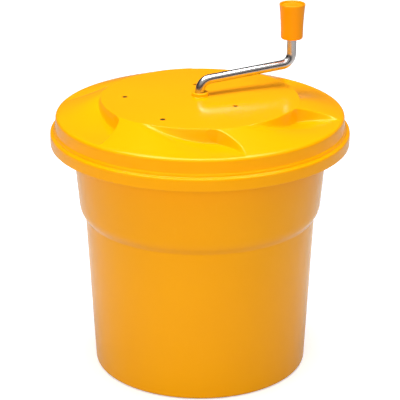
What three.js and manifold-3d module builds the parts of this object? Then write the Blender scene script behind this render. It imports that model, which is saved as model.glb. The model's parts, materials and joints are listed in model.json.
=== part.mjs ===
// Hand-cranked salad spinner of about 10 litres, in millimetres, +Z up.
// The origin is the centre of the tub's base, on the surface that it stands on.
// A stepped tub holds a slotted basket on a pivot pin. The lid carries a crank. Its motion goes through
// two equal gear pairs, out to a layshaft and back, to a drive plate that turns the basket four times
// as fast as the crank.

import * as THREE from 'three';
import { mergeVertices } from 'three/addons/utils/BufferGeometryUtils.js';
import Module from 'manifold-3d';

const wasm = await Module();
wasm.setup();

// ---- driving dimensions ----

const GAP = 0.3; // kept between pieces that touch or run in each other
const ROUND = 32; // sides of a large turned piece
const SMALL_ROUND = 16; // sides of a small one

const LID_R = 165; // outside of the lid's skirt, the widest circle of the spinner
const SKIRT_Z = 260; // lower edge of the skirt
const LEDGE_Z = 274; // ledge between the skirt and the lid's raised cap
const LID_WALL = 3;
const RIM_R = 156; // outer end of the blades, at the cap's edge
const RIM_Z = 293.3;
const PLATEAU_R = 109.5; // round plateau in the middle of the lid
const PLATEAU_Z = 309;
const CROWN = 2; // rise of the plateau from its edge to its middle
const BLADES = 6; // curved blades around the plateau
const BLADE_DROP = 14.2; // from the plateau down to the low end of a blade
const BLADE_TWIST = -13.4; // degrees that a ridge curls back between the rim and the plateau
const FIRST_RIDGE = -71.6; // degrees, where one ridge meets the rim
const LID_BOSS_R = 9.2; // ring around the crank
const LID_BOSS_Z = 315;
const CRANK_BUSH_R = 7.5; // plain bearing in that ring
const UNDERSIDE_Z = 306; // flat face under the plateau

const ROD_R = 5.25; // crank rod
const SPINDLE_R = 4; // its thinner ends
const CRANK_AZIMUTH = 26; // degrees, the way the arm points at rest
const THROW = 113.5; // crank axis to knob axis
const ARM_LOW_Z = 327.5; // where the arm's centreline would meet the crank axis
const ARM_HIGH_Z = 333; // and the knob axis
const BEND_R = 12;
const ROD_SHOULDER_Z = 292.4; // lower end of the full-width rod
const ROD_FOOT_Z = 253; // lower end of the spindle under it
const PIN_Z = 296.6; // cross pin through the crank gear
const KNOB_Z = 361.5; // lower end of the knob
const KNOB_HEIGHT = 40;
const KNOB_R = 14.5; // at its upper end

const MODULE = 2.25; // of both gear pairs
const WHEEL_TEETH = 28;
const PINION_TEETH = 14;
const BACKLASH = 0.32; // thinning of each tooth at the pitch circle
const FACE = 7; // width of each gear
const UPPER_GEARS_Z = 293;
const LOWER_GEARS_Z = 284.5;
const LAYSHAFT_R = 3;

const CASE_X = -22; // centre of the round gear case and its square of screws
const CASE_Y = -19;
const CASE_R = 68.5;
const CASE_WALL = 2.5;
const CASE_FLOOR_Z = 279.5;
const CASE_RIM_Z = 304.4;
const SCREW_CIRCLE = 62.6;
const FIRST_SCREW = -16; // degrees
const SCREW_SEAT_Z = 308;
const SCREW_R = 1.5;
const SCREW_HEAD_R = 2.7;
const SCREW_HEAD_HEIGHT = 1.5;
const SCREW_FOOT_Z = 286;
const POST_R = 4.4; // posts in the case that the screws go into
const BUSH_R = 11.7; // plain bearing in the case's floor

const HEX_R = 8; // across the corners of the output gear's hexagon
const HEX_Z = 262; // its lower end
const HUB_R = 9; // output gear's hub, in the case's bush
const HUB_Z = 275.6;
const PLATE_R = 116; // edge of the drive plate
const PLATE_Z = 252.6;
const PLATE_HUB_Z = 258.5;
const DOGS = 6; // drive tabs, and the rim notches that they drop into
const DOG_WIDTH = 12;

const TUB_WALL = 3;
const TUB_FLOOR = 4; // upper face of the tub's floor
const FOOT_R = 107; // inside of the ring that the tub stands on
const FOOT_RISE = 1.5; // hollow under the floor, inside that ring
const TUB_BASE_R = 119.9;
const STEP_LOW = [128.3, 175.3]; // radius and height of the step's lower and upper corners
const STEP_HIGH = [134.2, 184.3];
const TUB_NECK = [140.8, 262]; // where the wall turns out into the rim
const TUB_RIM_R = 161; // outside of the rim's turned-down edge
const TUB_RIM_LOW = 262.5;
const TUB_TOP = 271;
const PIVOT_BOSS_R = 14; // boss in the middle of the floor, for the pivot pin
const PIVOT_BOSS_Z = 18.5;
const PIN_SEAT = 6; // bottom of the pin's hole
const PIN_TOP = 34;

const BASKET_FLOOR_Z = 26;
const BASKET_BASE_R = 111;
const BASKET_TOP_R = 119.5;
const BASKET_TOP = 250;
const BASKET_WALL = 2.5;
const LIP = 7; // how far the basket's rim stands out
const SLOT_COLUMNS = 24;
const SLOT_ROWS = [[46, 98], [110, 162], [174, 226]]; // lower and upper end of each row of slots
const SLOT_WIDTH = 5.8;
const FLOOR_SLOT_R = 78; // middle of the slots in the basket's floor
const FLOOR_SLOT_LENGTH = 34;
const FLOOR_SLOT_WIDTH = 4.2;
const NOTCH_WIDTH = 16; // notches in the rim
const NOTCH_LOW = 240;

const FINISHES = { // colour, roughness, metalness
  orange: [0xf5a300, 0.4, 0], ivory: [0xf2efe6, 0.5, 0], acetal: [0xe4e0d6, 0.45, 0],
  steel: [0xc9c9cc, 0.25, 1], screw: [0x8a8a8c, 0.4, 1], rubber: [0x2b2b2b, 0.8, 0],
};

const radians = THREE.MathUtils.degToRad;

// Evenly spaced angles. An offset of 0.5 puts them half a step on.
function around(count, offset = 0) {
  return Array.from({ length: count }, (_, i) => (2 * Math.PI * (i + offset)) / count);
}

// ---- solids ----

// A closed geometry as a solid, turned the right way out if its faces point in.
function solid(geometry) {
  geometry.deleteAttribute('normal');
  geometry.deleteAttribute('uv');
  const merged = mergeVertices(geometry, 1e-4);
  const make = (triVerts) => new wasm.Manifold(new wasm.Mesh({
    numProp: 3, vertProperties: merged.attributes.position.array, triVerts,
  }));
  const triangles = new Uint32Array(merged.index.array);
  const made = make(triangles);
  return made.volume() > 0 ? made : make(triangles.reverse());
}

function geometryOf(made) {
  const mesh = made.getMesh();
  return new THREE.BufferGeometry()
    .setAttribute('position', new THREE.BufferAttribute(mesh.vertProperties, 3))
    .setIndex(new THREE.BufferAttribute(mesh.triVerts, 1));
}

const union = (...pieces) => wasm.Manifold.union(pieces.flat());

// A profile of [radius, height] points turned about +Z. It closes along the axis or on itself.
function turned(profile, sides = SMALL_ROUND) {
  const points = profile.map(([r, z]) => new THREE.Vector2(r, z));
  if (points[0].x > 0 || points.at(-1).x > 0) points.push(points[0]);
  return solid(new THREE.LatheGeometry(points, sides).rotateX(Math.PI / 2));
}

function cylinder(radius, low, high, x = 0, y = 0, sides = SMALL_ROUND) {
  return solid(new THREE.CylinderGeometry(radius, radius, high - low, sides)
    .rotateX(Math.PI / 2).translate(x, y, (low + high) / 2));
}

// A cylinder along X through the crank axis.
function crossCylinder(radius, length, z) {
  return solid(new THREE.CylinderGeometry(radius, radius, length, 12)
    .rotateZ(Math.PI / 2).translate(0, 0, z));
}

function tube(outer, inner, low, high, sides = SMALL_ROUND) {
  return turned([[inner, low], [outer, low], [outer, high], [inner, high]], sides);
}

// A box that runs along a radius, with its middle at a distance from the axis.
function box(width, depth, low, high, distance = 0, azimuth = 0) {
  return solid(new THREE.BoxGeometry(width, depth, high - low)
    .translate(distance, 0, (low + high) / 2).rotateZ(azimuth));
}

// ---- tub ----

function tub() {
  const inset = ([r, z]) => [r - TUB_WALL, z + 1];
  const [neckR, neckZ] = TUB_NECK;
  const foot = [
    [0, FOOT_RISE], [FOOT_R, FOOT_RISE], [FOOT_R + FOOT_RISE, 0], [TUB_BASE_R - 3.4, 0],
    [TUB_BASE_R - 0.9, 1.1], [TUB_BASE_R, 3.6],
  ];
  const outerWall = [STEP_LOW, [STEP_HIGH[0] - 1.6, STEP_HIGH[1] - 5.7], STEP_HIGH, TUB_NECK];
  const rim = [
    [neckR + 2.4, neckZ + 3], [neckR + 6.2, neckZ + 4.4], [TUB_RIM_R - 3.6, neckZ + 4.4],
    [TUB_RIM_R - 3.2, TUB_RIM_LOW], [TUB_RIM_R - 0.2, TUB_RIM_LOW], [TUB_RIM_R, TUB_TOP - 2.4],
    [TUB_RIM_R - 2.4, TUB_TOP], [neckR + 0.2, TUB_TOP], [neckR - TUB_WALL + 0.1, TUB_TOP - 3],
  ];
  const innerWall = [inset(STEP_HIGH), inset(STEP_LOW), [TUB_BASE_R - TUB_WALL + 0.2, TUB_FLOOR + 6]];
  const floor = [
    [TUB_BASE_R - 7.9, TUB_FLOOR], [PIVOT_BOSS_R + 2, TUB_FLOOR], [PIVOT_BOSS_R, TUB_FLOOR + 2],
    [PIVOT_BOSS_R - 3, PIVOT_BOSS_Z], [0, PIVOT_BOSS_Z],
  ];
  return turned([...foot, ...outerWall, ...rim, ...innerWall, ...floor], ROUND)
    .subtract(cylinder(SPINDLE_R + GAP, PIN_SEAT, PIVOT_BOSS_Z + 1));
}

function pivotPin() {
  const foot = PIN_SEAT + GAP;
  return turned([
    [0, foot], [SPINDLE_R, foot], [SPINDLE_R, PIN_TOP - 1.5], [SPINDLE_R - 1.2, PIN_TOP], [0, PIN_TOP],
  ]);
}

// ---- basket ----

const CUP_FLANGE_Z = [PIVOT_BOSS_Z + 0.5, 22];
const CUP_R = 9;
const CUP_TOP = 38.6;

// Plain bearing that drops over the pivot pin, and that the basket turns on.
function pivotCup() {
  const bore = SPINDLE_R + GAP;
  return turned([
    [bore, CUP_FLANGE_Z[0]], [12, CUP_FLANGE_Z[0]], [12, CUP_FLANGE_Z[1]], [CUP_R, CUP_FLANGE_Z[1]],
    [CUP_R, CUP_TOP - 1], [CUP_R - 1, CUP_TOP], [0, CUP_TOP], [0, PIN_TOP + 0.4], [bore, PIN_TOP + 0.4],
  ]);
}

const basketRadius = (z) => BASKET_BASE_R
  + ((BASKET_TOP_R - BASKET_BASE_R) * (z - BASKET_FLOOR_Z)) / (BASKET_TOP - BASKET_FLOOR_Z);

function basketShell() {
  const bore = CUP_R + GAP;
  const seat = CUP_FLANGE_Z[1] + 0.4;
  const floorTop = BASKET_FLOOR_Z + BASKET_WALL;
  const lip = BASKET_TOP_R + LIP;
  const inner = (z) => basketRadius(z) - BASKET_WALL;
  return turned([
    [0, CUP_TOP + 0.4], [bore, CUP_TOP + 0.4], [bore, seat], [13.5, seat], [14.5, BASKET_FLOOR_Z],
    [BASKET_BASE_R - 5, BASKET_FLOOR_Z], [BASKET_BASE_R - 1.2, BASKET_FLOOR_Z + 1.8], [basketRadius(33), 33],
    [basketRadius(245), 245], [lip - 2.5, 246.6], [lip - 2.2, 242], [lip, 242], [lip, BASKET_TOP - 1],
    [lip - 1, BASKET_TOP], [inner(BASKET_TOP) + 1, BASKET_TOP], [inner(35), 35],
    [BASKET_BASE_R - 8, floorTop], [22, floorTop], [15, 34], [13, 41], [0, CUP_TOP + 4.6],
  ], ROUND);
}

function basket() {
  const wallSlots = SLOT_ROWS.flatMap(([low, high]) => around(SLOT_COLUMNS, 0.5)
    .map((a) => box(20, SLOT_WIDTH, low, high, basketRadius((low + high) / 2), a)));
  const floorSlots = around(SLOT_COLUMNS, 0.5).map((a) => box(
    FLOOR_SLOT_LENGTH, FLOOR_SLOT_WIDTH, BASKET_FLOOR_Z - 2, BASKET_FLOOR_Z + 4, FLOOR_SLOT_R, a,
  ));
  const notches = around(DOGS)
    .map((a) => box(12, NOTCH_WIDTH, NOTCH_LOW, BASKET_TOP + 1, BASKET_TOP_R + LIP, a));
  return basketShell().subtract(union(wallSlots, floorSlots, notches));
}

// ---- lid ----

// 0 at the cap's edge and 1 at the plateau.
const inwardShare = (r) => THREE.MathUtils.clamp((RIM_R - r) / (RIM_R - PLATEAU_R), 0, 1);
const ridgeTwist = (r) => radians(BLADE_TWIST) * inwardShare(r) ** 3.6;

// Height of a blade at a radius. The phase runs from 0 at the blade's own ridge to 1 at the next.
function bladeHeight(r, phase) {
  const own = phase - Math.floor(phase);
  const foot = PLATEAU_Z - BLADE_DROP * THREE.MathUtils.smoothstep(own, 0.2, 0.97);
  return RIM_Z + (foot - RIM_Z) * inwardShare(r);
}

const plateauHeight = (r) => PLATEAU_Z + CROWN * (1 - (r / PLATEAU_R) ** 2);

function bladeUnderside(r, phase) {
  return Math.min(...[-0.05, 0, 0.05].map((shift) => bladeHeight(r, phase + shift))) - LID_WALL;
}

// The lid's section as rings, in order around it. A ring's height is a number or a function of the phase.
function lidRings() {
  const onTop = (r) => [r, plateauHeight(r)];
  const blade = (r) => [r, (phase) => bladeHeight(r, phase)];
  const under = (r) => [r, (phase) => bladeUnderside(r, phase)];
  const bore = ROD_R + 0.5;
  const bushSeat = CRANK_BUSH_R + GAP;
  return [
    [bore, LID_BOSS_Z], [LID_BOSS_R - 1.2, LID_BOSS_Z], [LID_BOSS_R - 0.3, LID_BOSS_Z - 0.9],
    ...[LID_BOSS_R, 60, 95].map(onTop), [PLATEAU_R - 1.5, PLATEAU_Z + 0.1], [PLATEAU_R, PLATEAU_Z - 0.9],
    ...[111.6, 118, 127, 140, RIM_R].map(blade),
    [158, RIM_Z - 1], [158.8, RIM_Z - 3.2], [160, LEDGE_Z + 2.4], [161.2, LEDGE_Z + 0.7],
    [164.2, LEDGE_Z - 0.8], [LID_R, LEDGE_Z - 3], [LID_R, SKIRT_Z + 1], [LID_R - 1, SKIRT_Z],
    [LID_R - 2.6, SKIRT_Z], [LID_R - 3, LEDGE_Z - 2.7], [156.8, LEDGE_Z - 2.7], [155.6, RIM_Z - 4.6],
    ...[153, 140, 127, 117, 109.6].map(under), [105.5, UNDERSIDE_Z],
    [11.6, UNDERSIDE_Z], [11.6, 301.6], [bushSeat, 301.6], [bushSeat, 312.4], [bore, 312.4],
  ];
}

// Lathe rings, each bent into the blades by turning and lifting its points.
function lidBody() {
  const rings = lidRings();
  const phases = [0, 0.18, 0.36, 0.54, 0.71, 0.86, 0.97];
  const sides = BLADES * phases.length;
  const section = [...rings, rings[0]].map(([r]) => new THREE.Vector2(r, 0));
  const geometry = new THREE.LatheGeometry(section, sides);
  const position = geometry.attributes.position;
  for (let i = 0; i < position.count; i++) {
    const side = Math.floor(i / section.length) % sides;
    const [r, height] = rings[(i % section.length) % rings.length];
    const phase = phases[side % phases.length];
    const sector = Math.floor(side / phases.length) + phase;
    const angle = radians(FIRST_RIDGE + (sector * 360) / BLADES) + ridgeTwist(r);
    const z = typeof height === 'function' ? height(phase) : height;
    position.setXYZ(i, r * Math.cos(angle), r * Math.sin(angle), z);
  }
  return solid(geometry);
}

function lidShell() {
  const [x, y] = layshaftPlace();
  const seat = cylinder(LAYSHAFT_R + 3.5, 302, UNDERSIDE_Z + 1, x, y);
  const screwHoles = screwPlaces().flatMap(([sx, sy]) => [
    cylinder(3, SCREW_SEAT_Z, 316, sx, sy, 12), cylinder(SCREW_R + GAP, 300, 309, sx, sy, 12),
  ]);
  return lidBody().add(seat).subtract(union(screwHoles, cylinder(LAYSHAFT_R + GAP, 301, 305, x, y)));
}

const crankBush = () => tube(CRANK_BUSH_R, ROD_R + GAP, 301.8, 312);

// ---- gear case ----

const CENTRES = (MODULE * (WHEEL_TEETH + PINION_TEETH)) / 2;
const LAY_AZIMUTH = Math.atan2(CASE_Y, CASE_X);

function layshaftPlace() {
  return [CENTRES * Math.cos(LAY_AZIMUTH), CENTRES * Math.sin(LAY_AZIMUTH)];
}

function screwPlaces() {
  return around(4).map((a) => {
    const azimuth = radians(FIRST_SCREW) + a;
    return [CASE_X + SCREW_CIRCLE * Math.cos(azimuth), CASE_Y + SCREW_CIRCLE * Math.sin(azimuth)];
  });
}

function gearCase() {
  const [layX, layY] = layshaftPlace();
  const floorTop = CASE_FLOOR_Z + CASE_WALL;
  const inner = CASE_R - CASE_WALL;
  const cup = turned([
    [0, CASE_FLOOR_Z], [CASE_R - 3, CASE_FLOOR_Z], [CASE_R, CASE_FLOOR_Z + 3], [CASE_R, CASE_RIM_Z],
    [inner, CASE_RIM_Z], [inner, floorTop + 1.5], [inner - 1.5, floorTop], [0, floorTop],
  ], 32).translate([CASE_X, CASE_Y, 0]);
  const posts = screwPlaces().map(([x, y]) => cylinder(POST_R, floorTop - 1, CASE_RIM_Z, x, y, 12));
  const bushSeat = cylinder(14.5, HUB_Z + 1, floorTop);
  const laySeat = cylinder(LAYSHAFT_R + 3, CASE_FLOOR_Z, floorTop + 1.6, layX, layY);
  return union(cup, posts, bushSeat, laySeat).subtract(union(
    cylinder(BUSH_R + GAP, HUB_Z, 290), cylinder(LAYSHAFT_R + GAP, CASE_FLOOR_Z + 1.1, 290, layX, layY),
    screwPlaces().map(([x, y]) => cylinder(SCREW_R + GAP, SCREW_FOOT_Z - 2, 310, x, y, 12)),
  ));
}

const caseGasket = () => tube(CASE_R - 0.2, CASE_R - CASE_WALL, CASE_RIM_Z + GAP, UNDERSIDE_Z - GAP, 32);

function caseBush() {
  const bore = HUB_R + GAP;
  const foot = HUB_Z + 1.8;
  const flange = CASE_FLOOR_Z + CASE_WALL + GAP;
  const outer = BUSH_R + 1.3;
  return turned([
    [bore, foot], [BUSH_R, foot], [BUSH_R, flange], [outer, flange], [outer, flange + 1], [bore, flange + 1],
  ]);
}

function caseScrew() {
  const seat = SCREW_SEAT_Z + GAP;
  const top = seat + SCREW_HEAD_HEIGHT;
  return turned([
    [0, SCREW_FOOT_Z], [SCREW_R, SCREW_FOOT_Z], [SCREW_R, seat], [SCREW_HEAD_R, seat],
    [SCREW_HEAD_R, top - 0.4], [SCREW_HEAD_R - 0.6, top], [0, top],
  ], 12);
}

// ---- gears ----

// Corners of a spur gear as [radius, angle], with straight flanks between involute points.
function gearOutline(teeth) {
  const pitch = (MODULE * teeth) / 2;
  const base = pitch * Math.cos(radians(20));
  const tip = pitch + 0.9 * MODULE;
  const root = pitch - 1.2 * MODULE;
  const involute = (r) => Math.sqrt(Math.max(0, (r / base) ** 2 - 1)) - Math.acos(Math.min(1, base / r));
  const half = Math.PI / (2 * teeth) - BACKLASH / (2 * pitch);
  const flank = [Math.max(base, root + 0.2), tip].map((r) => [r, half + involute(pitch) - involute(r)]);
  const side = [[root, flank[0][1] + 0.02], ...flank];
  return around(teeth).flatMap((middle) => [
    ...side.map(([r, a]) => [r, middle - a]), ...side.toReversed().map(([r, a]) => [r, middle + a]),
  ]);
}

// A gear with the middle of one tooth at an angle from +X.
function gear(teeth, low, toothAngle) {
  const corners = gearOutline(teeth).map(([r, a]) => new THREE.Vector2(r * Math.cos(a), r * Math.sin(a)));
  const geometry = new THREE.ExtrudeGeometry(new THREE.Shape(corners), { depth: FACE, bevelEnabled: false });
  return solid(geometry.rotateZ(toothAngle).translate(0, 0, low));
}

const wheel = (low, facing) => gear(WHEEL_TEETH, low, facing);
const pinion = (low, facing) => gear(PINION_TEETH, low, facing + Math.PI / PINION_TEETH);

function crankGear() {
  const pinSlot = box(24, 3.6, PIN_Z - 1.9, 301, 0, radians(CRANK_AZIMUTH));
  return wheel(UPPER_GEARS_Z, LAY_AZIMUTH).subtract(union(pinSlot, cylinder(ROD_R + GAP, 290, 303)));
}

// Wheel and pinion in one piece, running loose on the layshaft.
function layGear() {
  const back = LAY_AZIMUTH + Math.PI;
  return union(wheel(LOWER_GEARS_Z, back), pinion(UPPER_GEARS_Z - 0.4, back), cylinder(9, 284, 301.5))
    .subtract(cylinder(LAYSHAFT_R + GAP, 283, 303));
}

function outputGear() {
  const hub = cylinder(HUB_R, HUB_Z, LOWER_GEARS_Z + 1);
  const hexagon = cylinder(HEX_R, HEX_Z, HUB_Z + 1, 0, 0, 6);
  return union(pinion(LOWER_GEARS_Z, LAY_AZIMUTH), hub, hexagon)
    .subtract(cylinder(SPINDLE_R + GAP, 260, 292));
}

// ---- drive plate ----

// Shallow cone with a socket for the output gear's hexagon and tabs that hook into the basket's rim.
function drivePlate() {
  const top = PLATE_Z + 2.8;
  const cone = turned([
    [0, PLATE_HUB_Z], [13, PLATE_HUB_Z], [14, 263.4], [PLATE_R - 8, PLATE_Z + 1.6], [PLATE_R - 4, PLATE_Z],
    [PLATE_R, PLATE_Z], [PLATE_R, top], [PLATE_R - 6, top + 0.6], [14, 266.4], [13, HUB_Z - 0.4],
    [0, HUB_Z - 0.4],
  ], ROUND);
  const tabs = around(DOGS).flatMap((a) => [
    box(12, DOG_WIDTH, PLATE_Z, top, PLATE_R + 3.7, a),
    box(3.4, DOG_WIDTH, BASKET_TOP - 6.4, top, PLATE_R + 8, a),
  ]);
  const socket = cylinder(HEX_R + 0.4, HEX_Z - 0.4, 276, 0, 0, 6);
  return union(cone, tabs).subtract(union(socket, cylinder(SPINDLE_R + GAP, 258, 263)));
}

// ---- crank ----

// Arc in the XZ plane.
class Bend extends THREE.Curve {
  constructor(x, z, from, to) {
    super();
    Object.assign(this, { x, z, from, to });
  }

  getPoint(t) {
    const a = this.from + (this.to - this.from) * t;
    return new THREE.Vector3(this.x + BEND_R * Math.cos(a), 0, this.z + BEND_R * Math.sin(a));
  }
}

// Centreline of the rod: up through the lid, along the arm and up to the knob.
function crankPath() {
  const slope = Math.atan2(ARM_HIGH_Z - ARM_LOW_Z, THROW);
  const armZ = (x) => ARM_LOW_Z + x * Math.tan(slope);
  const rise = BEND_R * Math.cos(slope);
  const run = BEND_R * Math.sin(slope);
  const lowZ = armZ(BEND_R - run) - rise;
  const highZ = armZ(THROW - BEND_R + run) + rise;
  const at = (x, z) => new THREE.Vector3(x, 0, z);
  const path = new THREE.CurvePath();
  path.add(new THREE.LineCurve3(at(0, ROD_SHOULDER_Z), at(0, lowZ)));
  path.add(new Bend(BEND_R, lowZ, Math.PI, Math.PI / 2 + slope));
  path.add(new THREE.LineCurve3(at(BEND_R - run, lowZ + rise), at(THROW - BEND_R + run, highZ - rise)));
  path.add(new Bend(THROW - BEND_R, highZ, slope - Math.PI / 2, 0));
  path.add(new THREE.LineCurve3(at(THROW, highZ), at(THROW, KNOB_Z + 2)));
  return path;
}

function crankRod() {
  const section = new THREE.Shape().absarc(0, 0, ROD_R, 0, 2 * Math.PI);
  const rod = solid(new THREE.ExtrudeGeometry(section, {
    steps: 32, curveSegments: 6, extrudePath: crankPath(), bevelEnabled: false,
  }));
  const lowSpindle = cylinder(SPINDLE_R, ROD_FOOT_Z, ROD_SHOULDER_Z + 1);
  const highSpindle = cylinder(SPINDLE_R, KNOB_Z + 1, KNOB_Z + NUT_SEAT + 2.1, THROW, 0);
  const clipGroove = tube(SPINDLE_R + 2, SPINDLE_R - 0.8, ROD_FOOT_Z + 1.6, ROD_FOOT_Z + 3.2);
  return union(rod, lowSpindle, highSpindle)
    .subtract(union(crossCylinder(1.5 + GAP, 30, PIN_Z), clipGroove)).rotate([0, 0, CRANK_AZIMUTH]);
}

const crankPin = () => crossCylinder(1.5, 22, PIN_Z).rotate([0, 0, CRANK_AZIMUTH]);
const thrustWasher = () => tube(10.5, ROD_R + GAP, 300.4, 301.3);
const driveWasher = () => tube(9, SPINDLE_R + GAP, PLATE_HUB_Z - 1.7, PLATE_HUB_Z - 0.4);

// Spring clip in the groove near the rod's foot, open on one side.
function crankClip() {
  const ring = tube(7, SPINDLE_R - 0.5, ROD_FOOT_Z + 1.9, ROD_FOOT_Z + 2.9);
  return ring.subtract(box(10, 5, ROD_FOOT_Z, ROD_FOOT_Z + 5, 5));
}

// ---- knob, about its own axis and up from its lower end ----

const CAP_R = 11.8;
const CAP_SEAT = KNOB_HEIGHT - 3.6;
const NUT_SEAT = 28.4;

function knobGrip() {
  const up = (r, z) => [r, KNOB_Z + z];
  const spindleBore = SPINDLE_R + GAP;
  const counterbore = ROD_R + GAP;
  return turned([
    up(counterbore, 0), up(10.2, 0), up(11.6, 0.7), up(12.2, 2.4), up(12.5, 15), up(12.9, 24),
    up(KNOB_R - 0.8, 32.5), up(KNOB_R, KNOB_HEIGHT - 2), up(KNOB_R - 0.2, KNOB_HEIGHT - 0.6),
    up(KNOB_R - 1, KNOB_HEIGHT), up(KNOB_R - 2, KNOB_HEIGHT - 0.6), up(CAP_R + 0.4, CAP_SEAT),
    up(7.6, CAP_SEAT), up(7.6, NUT_SEAT), up(spindleBore, NUT_SEAT), up(spindleBore, 4), up(counterbore, 3),
  ]);
}

function knobCap() {
  const foot = KNOB_Z + CAP_SEAT + GAP;
  return turned([[0, foot], [CAP_R, foot], [CAP_R, foot + 1.7], [0, foot + 1.5]]);
}


// Push nut on the top of the spindle.
function knobNut() {
  const foot = KNOB_Z + NUT_SEAT + 0.4;
  return tube(6.8, SPINDLE_R + GAP, foot, foot + 1.1);
}

// ---- assembly ----

const spinner = new THREE.Group();

function add(name, finish, made, [x, y] = [0, 0]) {
  const [color, roughness, metalness] = FINISHES[finish];
  const material = new THREE.MeshStandardMaterial({ color, roughness, metalness });
  const mesh = new THREE.Mesh(geometryOf(made), material);
  mesh.name = name;
  mesh.position.set(x, y, 0);
  spinner.add(mesh);
}

add('outer_tub', 'orange', tub());
add('pivot_pin', 'steel', pivotPin());
add('pivot_cup', 'acetal', pivotCup());
add('basket', 'ivory', basket());

add('lid_shell', 'orange', lidShell());
add('crank_bush', 'acetal', crankBush());
add('gear_case', 'ivory', gearCase());
add('case_gasket', 'rubber', caseGasket(), [CASE_X, CASE_Y]);
add('case_bush', 'acetal', caseBush());
screwPlaces().forEach((place, i) => add(`case_screw_${i + 1}`, 'screw', caseScrew(), place));
add('layshaft', 'steel', cylinder(LAYSHAFT_R, CASE_FLOOR_Z + 1.4, 304.6), layshaftPlace());
add('lay_gear', 'acetal', layGear(), layshaftPlace());

add('crank_rod', 'steel', crankRod());
add('crank_gear', 'acetal', crankGear());
add('crank_pin', 'steel', crankPin());
add('thrust_washer', 'steel', thrustWasher());
add('crank_clip', 'steel', crankClip());
add('output_gear', 'acetal', outputGear());
add('drive_plate', 'ivory', drivePlate());
add('drive_washer', 'steel', driveWasher());

const knobAzimuth = radians(CRANK_AZIMUTH);
const knobPlace = [THROW * Math.cos(knobAzimuth), THROW * Math.sin(knobAzimuth)];
add('knob_grip', 'orange', knobGrip(), knobPlace);
add('knob_cap', 'orange', knobCap(), knobPlace);
add('knob_nut', 'steel', knobNut(), knobPlace);

export default spinner;
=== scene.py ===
import json
import math
import bmesh
import bpy
import numpy as np
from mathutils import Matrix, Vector


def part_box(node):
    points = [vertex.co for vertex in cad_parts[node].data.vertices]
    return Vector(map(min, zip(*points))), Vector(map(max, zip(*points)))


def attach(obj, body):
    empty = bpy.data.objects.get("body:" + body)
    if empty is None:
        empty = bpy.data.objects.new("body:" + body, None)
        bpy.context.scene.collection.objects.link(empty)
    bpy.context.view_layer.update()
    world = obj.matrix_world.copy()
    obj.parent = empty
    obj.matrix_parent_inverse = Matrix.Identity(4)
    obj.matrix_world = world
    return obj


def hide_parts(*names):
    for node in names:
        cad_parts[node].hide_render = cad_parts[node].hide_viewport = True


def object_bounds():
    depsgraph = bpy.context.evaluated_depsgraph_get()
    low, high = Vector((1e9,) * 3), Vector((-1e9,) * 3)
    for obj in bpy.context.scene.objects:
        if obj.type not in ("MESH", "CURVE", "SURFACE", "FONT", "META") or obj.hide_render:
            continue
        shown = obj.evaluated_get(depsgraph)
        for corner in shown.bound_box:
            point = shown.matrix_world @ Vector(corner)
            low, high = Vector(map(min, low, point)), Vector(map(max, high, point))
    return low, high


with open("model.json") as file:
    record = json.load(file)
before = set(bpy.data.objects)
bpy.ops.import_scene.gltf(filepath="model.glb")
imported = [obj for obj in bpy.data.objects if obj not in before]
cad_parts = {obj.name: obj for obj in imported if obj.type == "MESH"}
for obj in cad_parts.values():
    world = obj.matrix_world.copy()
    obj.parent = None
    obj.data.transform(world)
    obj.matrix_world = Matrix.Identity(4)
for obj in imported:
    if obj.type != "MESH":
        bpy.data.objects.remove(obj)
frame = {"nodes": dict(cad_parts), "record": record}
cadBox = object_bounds()
mm = 0.001  # the pieces are worked out in millimetres, and the studio in metres


# The lowest corner, highest corner and middle of a CAD node at rest.
def lowOf(node):
    return np.array(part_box(node)[0]) / mm


def highOf(node):
    return np.array(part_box(node)[1]) / mm


def middleOf(node):
    return (lowOf(node) + highOf(node)) / 2


# A number or colour is set on the socket, and another node's output is linked to it.
def feed(tree, socket, value):
    if isinstance(value, (float, tuple)):
        socket.default_value = value
    else:
        tree.links.new(value, socket)


def noise(tree, vector, scale, detail):
    node = tree.nodes.new("ShaderNodeTexNoise")
    for label, value in (("Vector", vector), ("Scale", scale), ("Detail", detail)):
        feed(tree, node.inputs[label], value)
    return node.outputs[0]


def ranged(tree, value, low, high, outLow=0.0, outHigh=1.0):
    node = tree.nodes.new("ShaderNodeMapRange")
    labels = ("Value", "From Min", "From Max", "To Min", "To Max")
    for label, number in zip(labels, (value, low, high, outLow, outHigh)):
        feed(tree, node.inputs[label], number)
    return node.outputs[0]


def maths(tree, kind, a, b):
    node = tree.nodes.new("ShaderNodeMath")
    node.operation = kind
    for socket, value in zip(node.inputs, (a, b)):
        feed(tree, socket, value)
    return node.outputs[0]


studio = {
    "lens": 155.0, "cameraBack": 1.8007, "cameraHeight": 0.885, "cameraDown": 21.16,
    "floorSize": 60.0, "floorDrop": 0.0004,
    "paperSeen": 0.9, "paperGlow": 0.35,  # to the camera
    "paperElsewhere": 0.36,  # as it lights the object
    # In gloss the paper carries a painted pool of light: its brightness near the object and far off, and
    # how far each is.
    "paperMirrored": (0.65, 0.42), "paintedPoolReach": (0.4, 1.2),  # in gloss: near and far, and how far each is
    "skySeen": 1.2, "roomLight": (0.06, 0.6),
    "brightWay": (0, -0.45, 0.9), "brightFrom": (0.4, 0.8), "brightAbove": (0.15, 0.5),
}

# Each box's place, the point it is aimed at, its width and height, its power, and whether gloss shows it.
softBoxes = {
    "topBox": ((0, 0.05, 2.1), (0, 0, 0.3), (2.0, 1.3), 58.0, True),
    "frontBox": ((-0.3, -2.3, 1.0), (0, 0, 0.2), (2.2, 0.9), 20.0, False),
    "leftBox": ((-2.2, -1.5, 0.6), (0, 0, 0.2), (1.3, 1.1), 24.0, False),
    "rightBox": ((2.3, -1.6, 0.5), (0, 0, 0.2), (1.3, 1.1), 20.0, False),
    "backBox": ((1.5, 2.2, 1.0), (0, 0, 0.2), (1.2, 1.0), 3.0, False),
}


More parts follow.
